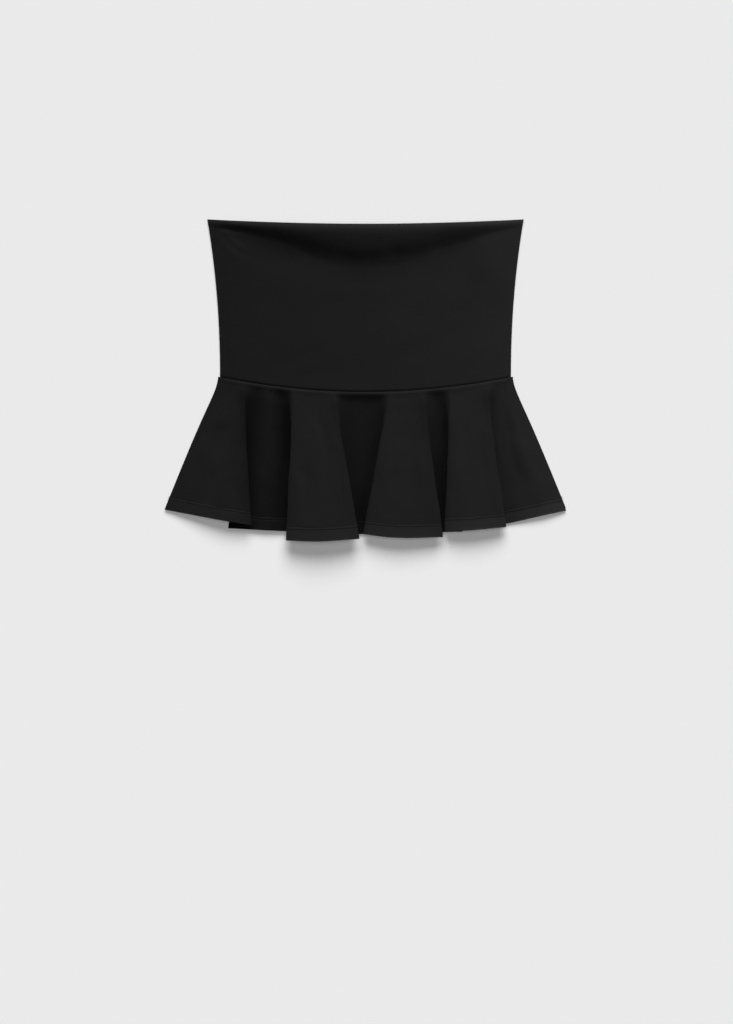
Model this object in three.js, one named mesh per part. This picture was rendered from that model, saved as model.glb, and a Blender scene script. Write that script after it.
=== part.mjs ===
// A strapless peplum top in stretch cloth, laid out flat on its back.
// X runs across the body, Y from the hem up to the neck edge and Z up from the surface that it lies on.
// Sizes are in millimetres. The origin is on that surface, a little above the middle of the waist seam.
// A straight tube of two panels, the bodice, carries a flared peplum of two panels.
// The front peplum stands in five open flutes, whose edges roll under into the valleys between them.
import * as THREE from "three";

// Cloth and seams.
const WALL = 1.2;
const SEAM_GAP = 0.3;
const HEM_DEPTH = 13;
const HEM_EXTRA = 0.4;
const HEM_STEP = 2.5;
const CLOTH_COLOR = 0x1b1b1c;

// Outline of the bodice.
const WAIST_HALF = 167.2;
const TOP_FLARE = 14.6;
const FLARE_POWER = 2.1;
const TOP_CORNER_Y = 184.6;
const TOP_DIP = 6.3;
const BACK_TOP_DROP = 2.5;

// The waist seam sags from its ends to its middle.
const SEAM_MIDDLE_Y = -13.8;
const SEAM_RISE = 17.2;

// The back lies on the surface, and the front on the back, with air between the two.
const BACK_Z = WALL / 2;
const EDGE_Z = BACK_Z + WALL + SEAM_GAP;
const PUFF = 6;
const PUFF_POWER = 4;

// The neck edge stands up, and the cloth slopes from it into a smile-shaped trough from corner to corner.
// The trough's distance below the edge grows from the corners to the sides, and again over its middle.
const RIM = 14;
const RIM_SIDE_POWER = 0.8;
const TROUGH_AT_CORNER = 7;
const TROUGH_SIDE_GROWTH = 10;
const TROUGH_MIDDLE_GROWTH = 22;
const TROUGH_MIDDLE_HALF = 80;
const RIM_START_SLOPE = 0.05;
const RIM_TAIL = 0.3;

// Outline of the peplum.
const PEPLUM_SEAM_HALF = 169.4;
const PEPLUM_LENGTH = 165;
const STRAIGHT_START = 0.12;
const POCKET = 0.045;
const HEM_EDGE_Z = EDGE_Z + 2 * HEM_EXTRA + SEAM_GAP / 2;
const FLOOR_Z = HEM_EDGE_Z + 0.1;

// Each flute of the front peplum, from left to right. seamL and seamR are where its edges leave the waist seam,
// lipL and lipR its outermost edges at the hem, and footL and footR where the cloth turns under it at the hem,
// null at a side seam or where it has no roll. high is the crest's height, peak its place between the lips,
// and hemL, hemC and hemR are the hem's Y at the left lip, the crest and the right lip.
const FLUTES = [
  {
    seamL: -169.4, seamR: -143.0, lipL: -231.0, lipR: -131.5, footL: null, footR: -156.5,
    high: 18.0, peak: 0.72, hemL: -149.0, hemC: -162.5, hemR: -167.0,
  },
  {
    seamL: -80.5, seamR: -38.5, lipL: -90.5, lipR: -7.5, footL: -68.5, footR: -32.5,
    high: 28.5, peak: 0.45, hemL: -184.5, hemC: -186.0, hemR: -182.5,
  },
  {
    seamL: 29.0, seamR: 63.0, lipL: -2.2, lipR: 88.5, footL: 26.0, footR: 67.0,
    high: 22.0, peak: 0.42, hemL: -177.3, hemC: -182.0, hemR: -180.5,
  },
  {
    seamL: 99.5, seamR: 135.5, lipL: 91.4, lipR: 160.8, footL: 110.0, footR: 143.0,
    high: 22.0, peak: 0.45, hemL: -174.0, hemC: -172.8, hemR: -169.0,
  },
  {
    seamL: 160.0, seamR: 169.4, lipL: 163.0, lipR: 230.8, footL: null, footR: null,
    high: 7.5, peak: 0.62, hemL: -165.5, hemC: -155.5, hemR: -150.3,
  },
];

// The lines along the top of a flute: seam and hem are places across it at its two ends, from its left lip to
// its crest or from its crest to its right lip, and high is a share of the crest's height.
const SIDE_RISE = [
  { seam: 0.3, hem: 0.28, high: 0.42 },
  { seam: 0.65, hem: 0.64, high: 0.76 },
];
const LIP = { upper: 0.72, lower: 0.52 };
const SHOULDER = { seam: 0.62, hem: 0.66, high: 0.88 };
const LOW_RISE = { seam: 0.45, hem: 0.45, high: 0.66 };

// Each valley between two flutes: the hem's Y at its two sides, and the height of the swell along its middle.
const VALLEYS = [
  { hemL: -170.5, hemR: -174.5, swell: 5.0 },
  { hemL: -177.0, hemR: -177.0, swell: 0 },
  { hemL: -175.5, hemR: -174.5, swell: 0 },
  { hemL: -167.5, hemR: -166.0, swell: 0 },
];

// A fold has two lines round its lip, one in the tuck below it and two round its foot. At the seam they start
// side by side, these distances out from the flute.
const AT_SEAM = { lip: 2.5, tuck: 5, footUpper: 8, footLower: 11 };
const FOOT_Z = 4.6;
// The tuck and the upper side of the foot are these shares of the way down from the lip to the foot's lower
// side.
const DROP = { tuck: 0.35, foot: 0.62 };
// Across a valley's floor, seam is a share of its width at the seam, and hem a share of the way between its two
// hem heights. At the hem the outer lines lie a turn in from the feet, which is a share of the width at most.
const FLOOR_LINES = {
  left: { seam: 0.22, hem: 0.15 },
  middle: { seam: 0.5, hem: 0.6 },
  right: { seam: 0.78, hem: 1 },
};
const FLOOR_TURN = 11;
const FLOOR_TURN_SHARE = 0.2;
const FRONT_PUSH_OUT = 0.3;
// How far each line goes straight down into the valley below the seam, from 0 on a flute to 1 on the floor.
const SUNK = { top: 0, lipUpper: 0.1, lipLower: 0.25, floor: 1 };

// The back peplum lies on the surface, and its own flutes stand in the hollows of the front's.
const BACK_HEM_SIDE_Y = -147.2;
const BACK_HEM_DROP = 27;
const BACK_HEM_HALF = 230.5;
// seam and hem are the X of each flute's crest at its two ends, throat its opening at the hem, width its
// widest part there, and high its height.
const BACK_FLUTES = [
  { seam: -143, hem: -184, throat: 30, width: 33, high: 7 },
  { seam: -60, hem: -50.5, throat: 15, width: 44, high: 17.5 },
  { seam: 48, hem: 46.5, throat: 17, width: 46, high: 12.5 },
  { seam: 118, hem: 126.5, throat: 13, width: 32, high: 12.5 },
];
// The lines of a back flute. start is a share of half its width, out from its middle at the seam. At the hem,
// throat and width are shares of half of each, outside is a distance out from that, and high a share of
// its height.
const BACK_FLUTE_LINES = [
  { start: -1.25, throat: -1, outside: -9, width: 0, high: 0 },
  { start: -0.9, throat: -1, outside: 0, width: 0, high: 0.1 },
  { start: -0.6, throat: 0, outside: 0, width: -1, high: 0.55 },
  { start: -0.25, throat: 0, outside: 0, width: -0.62, high: 0.95 },
  { start: 0.25, throat: 0, outside: 0, width: 0.62, high: 0.95 },
  { start: 0.6, throat: 0, outside: 0, width: 1, high: 0.55 },
  { start: 0.9, throat: 1, outside: 0, width: 0, high: 0.1 },
  { start: 1.25, throat: 1, outside: 9, width: 0, high: 0 },
];

const lerp = (a, b, t) => a + (b - a) * t;
const clamp01 = (t) => Math.min(1, Math.max(0, t));
const smooth = (t) => clamp01(t) ** 2 * (3 - 2 * clamp01(t));

const seamY = (x) => SEAM_MIDDLE_Y + SEAM_RISE * (x / WAIST_HALF) ** 2;
const puffZ = (u) => EDGE_Z + PUFF * (1 - Math.min(1, Math.abs(u)) ** PUFF_POWER);
const seamZ = (x) => puffZ(x / PEPLUM_SEAM_HALF);

// A soft curve along points: a cubic B-spline, whose corners are first pushed out because it would cut them.
class SoftCurve extends THREE.Curve {
  constructor(points, pushOut) {
    super();
    const before = points[0].clone().multiplyScalar(2).sub(points[1]);
    const after = points.at(-1).clone().multiplyScalar(2).sub(points.at(-2));
    const all = [before, ...points, after];
    this.controls = all.map((point, i) => {
      if (i === 0 || i === all.length - 1) return point;
      const between = all[i - 1].clone().add(all[i + 1]).multiplyScalar(0.5);
      return point.clone().addScaledVector(point.clone().sub(between), pushOut / 3);
    });
  }

  getPoint(t, target = new THREE.Vector3()) {
    const spans = this.controls.length - 3;
    const span = Math.min(Math.floor(t * spans), spans - 1);
    const s = t * spans - span;
    const weights = [(1 - s) ** 3, 3 * s ** 3 - 6 * s ** 2 + 4, -3 * s ** 3 + 3 * s ** 2 + 3 * s + 1, s ** 3];
    target.set(0, 0, 0);
    weights.forEach((weight, k) => target.addScaledVector(this.controls[span + k], weight / 6));
    return target;
  }
}

// A closed wall of cloth: a grid of mid-surface points, moved up and down by the depths given, with its rim
// closed.
function clothWall(middle, acrossAt, alongAt, depthAbove, depthBelow) {
  const step = 1e-4;
  const positions = [];
  const across = acrossAt.length;
  const along = alongAt.length;
  for (const depth of [depthAbove, (v) => -depthBelow(v)]) {
    for (const v of alongAt) {
      for (const u of acrossAt) {
        const p = middle(u, v);
        const du = middle(Math.min(u + step, 1), v).sub(middle(Math.max(u - step, 0), v));
        const dv = middle(u, Math.min(v + step, 1)).sub(middle(u, Math.max(v - step, 0)));
        const normal = du.cross(dv).normalize();
        const point = p.addScaledVector(normal, depth(v));
        positions.push(point.x, point.y, point.z);
      }
    }
  }
  const at = (side, j, i) => side * along * across + j * across + i;
  const faces = [];
  const quad = (a, b, c, d) => faces.push(a, b, c, a, c, d);
  for (let j = 0; j < along - 1; j++) {
    for (let i = 0; i < across - 1; i++) {
      quad(at(0, j, i), at(0, j, i + 1), at(0, j + 1, i + 1), at(0, j + 1, i));
      quad(at(1, j, i), at(1, j + 1, i), at(1, j + 1, i + 1), at(1, j, i + 1));
    }
  }
  for (let i = 0; i < across - 1; i++) {
    quad(at(0, 0, i), at(1, 0, i), at(1, 0, i + 1), at(0, 0, i + 1));
    quad(at(0, along - 1, i), at(0, along - 1, i + 1), at(1, along - 1, i + 1), at(1, along - 1, i));
  }
  for (let j = 0; j < along - 1; j++) {
    quad(at(0, j, 0), at(0, j + 1, 0), at(1, j + 1, 0), at(1, j, 0));
    quad(at(0, j, across - 1), at(1, j, across - 1), at(1, j + 1, across - 1), at(0, j + 1, across - 1));
  }
  const geometry = new THREE.BufferGeometry();
  geometry.setAttribute("position", new THREE.Float32BufferAttribute(positions, 3));
  geometry.setIndex(faces);
  return geometry;
}

// How far the rim has come down at q, the distance from the neck edge over the trough's own distance.
function rimFall(q) {
  const first = Math.min(q, 1);
  const later = Math.min(Math.max(q - 1, 0), RIM_TAIL);
  const growth = (1 - RIM_START_SLOPE) / 2;
  const total = RIM_START_SLOPE + growth + RIM_TAIL / 2;
  return (RIM_START_SLOPE * first + growth * first ** 2 + later - later ** 2 / (2 * RIM_TAIL)) / total;
}

// The rim's height above the rest of the bodice at one point.
function rimZ(x, u, belowEdge) {
  const side = 1 - u * u;
  const middle = Math.exp(-(Math.abs(x / TROUGH_MIDDLE_HALF) ** 3));
  const trough = TROUGH_AT_CORNER + TROUGH_SIDE_GROWTH * side + TROUGH_MIDDLE_GROWTH * middle;
  return RIM * side ** RIM_SIDE_POWER * (1 - rimFall(belowEdge / trough));
}

// One bodice panel. height gives its middle surface's Z from x, u (-1 to 1 across) and the distance below the
// neck edge.
function bodicePanel(topDrop, height) {
  return (u01, v) => {
    const u = 2 * u01 - 1;
    const x = u * (WAIST_HALF + TOP_FLARE * v ** FLARE_POWER);
    const top = TOP_CORNER_Y - (TOP_DIP + topDrop) * (1 - u * u);
    const y = lerp(seamY(u * WAIST_HALF) + SEAM_GAP / 2, top, v);
    return new THREE.Vector3(x, y, height(x, u, top - y));
  };
}

const bodiceFront = bodicePanel(0, (x, u, belowEdge) => puffZ(u) + rimZ(x, u, belowEdge));
const bodiceBack = bodicePanel(BACK_TOP_DROP, () => BACK_Z);

// One line of the front peplum: its X at the seam, its place at the hem and how far it drops below the seam.
const line = (seamX, x, y, z, sunk) => ({ seamX, x, y, z, sunk });

// A line along the top of a flute, from one of its edges to its crest or back.
function topLine(flute, row, fromLeft) {
  const crestSeam = lerp(flute.seamL, flute.seamR, 0.5);
  const crestX = lerp(flute.lipL, flute.lipR, flute.peak);
  const seamX = fromLeft ? lerp(flute.seamL, crestSeam, row.seam) : lerp(crestSeam, flute.seamR, row.seam);
  const x = fromLeft ? lerp(flute.lipL, crestX, row.hem) : lerp(crestX, flute.lipR, row.hem);
  const y = fromLeft ? lerp(flute.hemL, flute.hemC, row.hem) : lerp(flute.hemC, flute.hemR, row.hem);
  return line(seamX, x, y, row.high * flute.high, SUNK.top);
}

// A line inside a fold, whose height is worked out from those of the lip and the foot, all the way down.
const foldLine = (seamX, x, y) => line(seamX, x, y, null, null);
const tuckLine = (seamX, lip, foot, lipHem, footHem) =>
  foldLine(seamX, lerp(lip, foot, 0.5), lerp(lipHem, footHem, 0.5));

const mirrored = (row) => ({ seam: 1 - row.seam, hem: 1 - row.hem, high: row.high });

function fluteLines(flute, before, after) {
  const lines = [];
  const upperZ = LIP.upper * flute.high;
  const lowerZ = LIP.lower * flute.high;
  if (!before) {
    lines.push(line(flute.seamL, flute.lipL, flute.hemL, HEM_EDGE_Z, SUNK.top));
    lines.push(...SIDE_RISE.map((row) => topLine(flute, row, true)));
  } else if (flute.footL !== null) {
    lines.push(tuckLine(flute.seamL - AT_SEAM.tuck, flute.lipL, flute.footL, flute.hemL, before.hemR));
    lines.push(line(flute.seamL - AT_SEAM.lip, flute.lipL, flute.hemL, lowerZ, SUNK.lipLower));
    lines.push(line(flute.seamL, flute.lipL, flute.hemL, upperZ, SUNK.lipUpper));
    lines.push(topLine(flute, mirrored(SHOULDER), true));
  } else {
    lines.push(topLine(flute, LOW_RISE, true));
  }
  lines.push(topLine(flute, { seam: 0, hem: 0, high: 1 }, false));
  if (after) {
    lines.push(topLine(flute, SHOULDER, false));
    lines.push(line(flute.seamR, flute.lipR, flute.hemR, upperZ, SUNK.lipUpper));
    lines.push(line(flute.seamR + AT_SEAM.lip, flute.lipR, flute.hemR, lowerZ, SUNK.lipLower));
    lines.push(tuckLine(flute.seamR + AT_SEAM.tuck, flute.lipR, flute.footR, flute.hemR, after.hemL));
  } else {
    lines.push(line(flute.seamR, flute.lipR, flute.hemR, HEM_EDGE_Z, SUNK.top));
  }
  return lines;
}

// The lines of one valley: the foot of the flute on its left, its floor, and the foot of the one on its right.
function valleyLines(left, right, valley) {
  const rolls = right.footL !== null;
  const seamFrom = left.seamR + AT_SEAM.footLower;
  const seamTo = rolls ? right.seamL - AT_SEAM.footLower : right.seamL;
  const from = left.footR;
  const to = rolls ? right.footL : right.lipL;
  const turn = Math.min(FLOOR_TURN, FLOOR_TURN_SHARE * (to - from));
  const floor = (row, x, z) =>
    line(lerp(seamFrom, seamTo, row.seam), x, lerp(valley.hemL, valley.hemR, row.hem), z, SUNK.floor);
  const lines = [
    foldLine(left.seamR + AT_SEAM.footUpper, from, valley.hemL),
    floor({ seam: 0, hem: 0 }, from, FOOT_Z),
    floor(FLOOR_LINES.left, from + turn, FLOOR_Z),
    floor(FLOOR_LINES.middle, (from + to) / 2, FLOOR_Z + valley.swell),
    floor(FLOOR_LINES.right, to - turn, FLOOR_Z),
  ];
  if (rolls) {
    lines.push(floor({ seam: 1, hem: 1 }, to, FOOT_Z));
    lines.push(foldLine(right.seamL - AT_SEAM.footUpper, to, valley.hemR));
  }
  return lines;
}

const FRONT_LINES = FLUTES.flatMap((flute, n) => [
  ...fluteLines(flute, VALLEYS[n - 1], VALLEYS[n]),
  ...(VALLEYS[n] ? valleyLines(flute, FLUTES[n + 1], VALLEYS[n]) : []),
]);

// How far a line has gone from its place at the seam to its place at the hem: it leaves the seam straight down.
const spreadAt = (v) => v * (1 - Math.exp(-v / STRAIGHT_START));

function frontLinesAt(v) {
  const spread = spreadAt(v);
  const sink = 1 - Math.exp(-((v / POCKET) ** 2));
  const points = FRONT_LINES.map(({ seamX, x, y, z, sunk }) => {
    const risen = lerp(spread, lerp(sink, 1, smooth(v)), sunk);
    return new THREE.Vector3(
      lerp(seamX, x, spread),
      lerp(seamY(seamX) - SEAM_GAP / 2, y, v),
      lerp(seamZ(seamX), z, risen),
    );
  });
  const inFold = (i) => FRONT_LINES[i].z === null && FRONT_LINES[i + 1].z === null;
  for (let i = 1; i < points.length - 2; i++) {
    if (!inFold(i)) continue;
    const left = points[i - 1].z;
    const right = points[i + 2].z;
    const [first, second] = left > right ? [DROP.tuck, DROP.foot] : [1 - DROP.foot, 1 - DROP.tuck];
    points[i].z = lerp(left, right, first);
    points[i + 1].z = lerp(left, right, second);
  }
  return points;
}

// The front's cross-section at v, from 0 at the seam to 1 at the hem, is a soft curve along its lines.
const frontSections = new Map();
function peplumFront(u, v) {
  if (!frontSections.has(v)) frontSections.set(v, new SoftCurve(frontLinesAt(v), FRONT_PUSH_OUT));
  return frontSections.get(v).getPoint(clamp01(u));
}

// The back peplum's lines: its two sides, and those of each flute.
const BACK_LINES = [
  { seamX: -PEPLUM_SEAM_HALF, x: -BACK_HEM_HALF, z: 0 },
  ...BACK_FLUTES.flatMap((flute) =>
    BACK_FLUTE_LINES.map((row) => ({
      seamX: flute.seam + (row.start * flute.width) / 2,
      x: flute.hem + (row.throat * flute.throat + row.width * flute.width) / 2 + row.outside,
      z: row.high * flute.high,
    })),
  ),
  { seamX: PEPLUM_SEAM_HALF, x: BACK_HEM_HALF, z: 0 },
];

// The soft curve through those lines holds the X at the seam, the X at the hem and the height, in that order.
const backCurve = new SoftCurve(BACK_LINES.map(({ seamX, x, z }) => new THREE.Vector3(seamX, x, z)), 0);
function peplumBack(u, v) {
  const [seamX, hemX, high] = backCurve.getPoint(u).toArray();
  const hemY = BACK_HEM_SIDE_Y - BACK_HEM_DROP * (1 - (hemX / BACK_HEM_HALF) ** 2);
  const spread = spreadAt(v);
  const y = lerp(seamY(seamX) - SEAM_GAP / 2, hemY, v);
  return new THREE.Vector3(lerp(seamX, hemX, spread), y, BACK_Z + high * spread);
}

function panel(name, geometry) {
  geometry.computeVertexNormals();
  const material = new THREE.MeshStandardMaterial({ color: CLOTH_COLOR, roughness: 0.85, metalness: 0 });
  const mesh = new THREE.Mesh(geometry, material);
  mesh.name = name;
  return mesh;
}

const CLOSER = 0.45;
const COLUMNS_PER_LINE = 1.6;

// The rows of every grid go from the panel's lower edge up, so that its normals point up on the flat cloth.
const fromHem = (middle) => (u, up) => middle(u, 1 - up);
// The hem is turned up inside, so the wall is thicker on that side there.
const half = () => WALL / 2;
const hemSide = (up) => half() + HEM_EXTRA * smooth((HEM_DEPTH - up * PEPLUM_LENGTH) / HEM_STEP);

const evenly = (count, shape = (t) => t) => Array.from({ length: count + 1 }, (_, i) => shape(i / count));
const closerAtTop = (t) => 1 - lerp(1 - t, (1 - t) ** 2, CLOSER);

// How many steps each panel's grid has, across it and then along it.
const bodiceFrontGrid = [evenly(34), evenly(18, closerAtTop)];
const bodiceBackGrid = [evenly(20), evenly(8)];
const peplumFrontGrid = [evenly(Math.round(COLUMNS_PER_LINE * FRONT_LINES.length)), evenly(16, closerAtTop)];
const peplumBackGrid = [evenly(Math.round(COLUMNS_PER_LINE * BACK_LINES.length)), evenly(12, closerAtTop)];

const top = new THREE.Group();
top.add(
  panel("bodice_front", clothWall(bodiceFront, ...bodiceFrontGrid, half, half)),
  panel("bodice_back", clothWall(bodiceBack, ...bodiceBackGrid, half, half)),
  panel("peplum_front", clothWall(fromHem(peplumFront), ...peplumFrontGrid, half, hemSide)),
  panel("peplum_back", clothWall(fromHem(peplumBack), ...peplumBackGrid, hemSide, half)),
);

export default top;
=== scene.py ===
# %% [markdown]
# # A strapless peplum top, laid out flat
#
# The real top is sewn from four pieces of black stretch knit. Two straight panels make the bodice, a tube
# with a clean folded neck edge. Two panels cut as parts of a ring make the peplum, which flares below the
# waist seam and stands in soft flutes. Its hem is turned up once and held by a twin needle.
#
# This lesson builds each panel as a thin closed shell of cloth, rolls and creases it, sews the hem with
# Geometry Nodes and gives the knit a material of its own. The frame that it starts from holds the plain
# solids of the four panels, and each shell takes the place of one of them.

import math
from typing import NamedTuple

import bpy
import numpy as np
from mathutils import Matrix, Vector


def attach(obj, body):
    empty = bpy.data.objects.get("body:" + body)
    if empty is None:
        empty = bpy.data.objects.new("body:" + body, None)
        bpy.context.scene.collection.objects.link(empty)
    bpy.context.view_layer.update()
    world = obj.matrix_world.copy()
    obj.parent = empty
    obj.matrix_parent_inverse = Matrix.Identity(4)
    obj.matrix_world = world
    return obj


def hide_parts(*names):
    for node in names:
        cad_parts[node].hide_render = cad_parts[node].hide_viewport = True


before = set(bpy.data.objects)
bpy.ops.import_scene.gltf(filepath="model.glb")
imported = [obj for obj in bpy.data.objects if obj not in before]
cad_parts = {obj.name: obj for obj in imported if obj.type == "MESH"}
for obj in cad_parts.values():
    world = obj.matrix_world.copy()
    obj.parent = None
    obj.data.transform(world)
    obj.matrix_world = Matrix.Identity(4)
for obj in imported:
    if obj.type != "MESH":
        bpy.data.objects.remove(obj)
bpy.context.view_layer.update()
print("nodes:", list(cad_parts))

# %% [markdown]
# ## The sizes of the cloth
#
# All sizes are in millimetres, as a maker would give them, and the mesh is scaled to metres at the end. The
# cloth is drawn at its middle surface, and the wall is put on either side of it afterwards. The outline
# comes first: half the waist, how much the bodice widens towards the neck edge, how the waist seam sags. The
# back panels meet half a millimetre lower than the front ones do, so nothing shows through the seam.

# %% Cloth, seams and the bodice outline
MM = 0.001
WALL = 1.2
SEAM_GAP = 0.3
HEM_DEPTH = 13
HEM_EXTRA = 0.4
HEM_STEP = 0.9

WAIST_HALF = 167.2
TOP_FLARE = 14.6
FLARE_POWER = 2.1
TOP_CORNER_Y = 184.6
TOP_DIP = 6.3
BACK_TOP_DROP = 2.5
SEAM_MIDDLE_Y = -13.8
SEAM_RISE = 17.2
BACK_SEAM_DROP = 0.5

BACK_Z = WALL / 2
EDGE_Z = BACK_Z + WALL + SEAM_GAP
PUFF = 6
PUFF_POWER = 4


def mix(a, b, t):
    return a + (b - a) * t


def smooth(t):
    t = np.clip(t, 0, 1)
    return t * t * (3 - 2 * t)


def seam_y(x):
    return SEAM_MIDDLE_Y + SEAM_RISE * (x / WAIST_HALF) ** 2


def puff_z(u):
    return EDGE_Z + PUFF * (1 - np.minimum(1, np.abs(u)) ** PUFF_POWER)


print("the cloth stands", round(float(puff_z(0)), 1), "mm above the surface at the middle of the waist")

# %% [markdown]
# ## The bodice
#
# The bodice lies flat on its back, with a little air inside. Its neck edge stands up like the rim of a bag,
# and the cloth slopes from there into a smile-shaped trough that runs from corner to corner. A sculpted
# mesh could give this shape, but a height for each point says it in a few lines and can be tuned by name.

# %% The bodice's middle surfaces
RIM = 14
RIM_SIDE_POWER = 0.8
RIM_START_SLOPE = 0.05
RIM_TAIL = 0.3
TROUGH_AT_CORNER = 7
TROUGH_SIDE_GROWTH = 10
TROUGH_MIDDLE_GROWTH = 22
TROUGH_MIDDLE_HALF = 80


def rim_fall(q):
    """How far the rim has come down at q, the distance below the neck edge over the trough's own."""
    first = np.minimum(q, 1)
    later = np.clip(q - 1, 0, RIM_TAIL)
    growth = (1 - RIM_START_SLOPE) / 2
    total = RIM_START_SLOPE + growth + RIM_TAIL / 2
    return (RIM_START_SLOPE * first + growth * first**2 + later - later**2 / (2 * RIM_TAIL)) / total


def rim_z(x, u, below_edge):
    side = 1 - u * u
    middle = np.exp(-(np.abs(x / TROUGH_MIDDLE_HALF) ** 3))
    trough = TROUGH_AT_CORNER + TROUGH_SIDE_GROWTH * side + TROUGH_MIDDLE_GROWTH * middle
    return RIM * side**RIM_SIDE_POWER * (1 - rim_fall(below_edge / trough))


def bodice_panel(across, up, top_drop, is_front):
    """The middle surface on a grid: across and up both run from 0 to 1."""
    u = 2 * across[None, :] - 1
    v = up[:, None]
    x = u * (WAIST_HALF + TOP_FLARE * v**FLARE_POWER)
    seam_drop = 0 if is_front else BACK_SEAM_DROP
    bottom = seam_y(u * WAIST_HALF) + SEAM_GAP / 2 - seam_drop
    top = TOP_CORNER_Y - (TOP_DIP + top_drop) * (1 - u * u)
    y = mix(bottom, top, v)
    z = puff_z(u) + rim_z(x, u, top - y) if is_front else np.full(x.shape, BACK_Z)
    return np.stack([x, y, z], axis=-1)


# %% [markdown]
# ## The peplum's cross-sections
#
# Below the waist the front opens into five flutes. At the hem each is a soft arch whose edges roll under and
# come back as the floor of the valley next to it. The table gives each flute by the places where a maker
# would measure it: its edges at the seam, its lips and feet at the hem, its height and the hem's line.

# %% The flutes of the front, from left to right
PEPLUM_SEAM_HALF = 169.4
PEPLUM_LENGTH = 165
STRAIGHT_START = 0.12
POCKET = 0.045
HEM_EDGE_Z = EDGE_Z + 2 * HEM_EXTRA + SEAM_GAP / 2
FLOOR_LIFT = 0.1
FLOOR_Z = HEM_EDGE_Z + FLOOR_LIFT


class Flute(NamedTuple):
    seam: tuple  # X of its two edges at the waist seam
    lips: tuple  # X of its outermost edges at the hem
    feet: tuple  # X where the cloth turns under it, None where it does not
    high: float
    peak: float  # the crest's place between the lips
    hem: tuple  # Y of the hem at the left lip, the crest and the right lip


FLUTES = [
    Flute((-169.4, -143.0), (-231.0, -131.5), (None, -156.5), 18.0, 0.72, (-149.0, -162.5, -167.0)),
    Flute((-80.5, -38.5), (-90.5, -7.5), (-68.5, -32.5), 28.5, 0.45, (-184.5, -186.0, -182.5)),
    Flute((29.0, 63.0), (-2.2, 88.5), (26.0, 67.0), 22.0, 0.42, (-177.3, -182.0, -180.5)),
    Flute((99.5, 135.5), (91.4, 160.8), (110.0, 143.0), 22.0, 0.45, (-174.0, -172.8, -169.0)),
    Flute((160.0, 169.4), (163.0, 230.8), (None, None), 7.5, 0.62, (-165.5, -155.5, -150.3)),
]


class Valley(NamedTuple):
    hem: tuple  # Y of the hem at its left and right
    swell: float  # height of the swell along its middle
    shade_share: tuple  # how much painted shade deepens its black at its left, along its middle and at its right
    lip_shade: float  # how much of that painted shade the flute at its left has at its lip


VALLEYS = [
    Valley((-170.5, -174.5), 5.0, (1.0, 0.2, 1.0), 0.7),
    Valley((-177.0, -177.0), 0, (0.6, 0.55, 0.6), 0.35),
    Valley((-175.5, -174.5), 0, (0.55, 0.55, 0.75), 0.45),
    Valley((-167.5, -166.0), 0, (0.7, 0.35, 0.1), 0.45),
]
print("the front peplum has", len(FLUTES), "flutes, the highest", max(f.high for f in FLUTES), "mm")

# %% [markdown]
# Each cross-section is one soft curve through about sixty lines that run from the seam to the hem. The next
# cells write those lines down: along the top of a flute, round its lips, through the tuck under it, round
# its foot and across the valley. A line keeps its X at the seam and its place at the hem.

# %% Lines along a flute
class Row(NamedTuple):
    seam: float
    hem: float
    high: float


class Line(NamedTuple):
    seam_x: float
    x: float
    y: float
    z: float  # None inside a fold, where the lip and the foot decide
    sunk: float  # 0 on a flute, 1 where the cloth drops straight into the valley


SIDE_RISE = [Row(0.3, 0.28, 0.42), Row(0.65, 0.64, 0.76)]
SHOULDER = Row(0.62, 0.66, 0.88)
LOW_RISE = Row(0.45, 0.45, 0.66)
CREST = Row(0, 0, 1)
LIP_UPPER = 0.72
LIP_LOWER = 0.52
SUNK_TOP = 0
SUNK_LIP_UPPER = 0.1
SUNK_LIP_LOWER = 0.25
SUNK_FLOOR = 1
LIP_AT_SEAM = 2.5
TUCK_AT_SEAM = 5
FOOT_UPPER_AT_SEAM = 8
FOOT_LOWER_AT_SEAM = 11


def top_line(flute, row, from_left):
    crest_seam = mix(*flute.seam, 0.5)
    crest_x = mix(*flute.lips, flute.peak)
    if from_left:
        ends = (flute.seam[0], crest_seam), (flute.lips[0], crest_x), (flute.hem[0], flute.hem[1])
    else:
        ends = (crest_seam, flute.seam[1]), (crest_x, flute.lips[1]), (flute.hem[1], flute.hem[2])
    (seam_a, seam_b), (x_a, x_b), (y_a, y_b) = ends
    x = mix(x_a, x_b, row.hem)
    y = mix(y_a, y_b, row.hem)
    return Line(mix(seam_a, seam_b, row.seam), x, y, row.high * flute.high, SUNK_TOP)


def fold_line(seam_x, x, y):
    return Line(seam_x, x, y, None, None)


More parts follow.
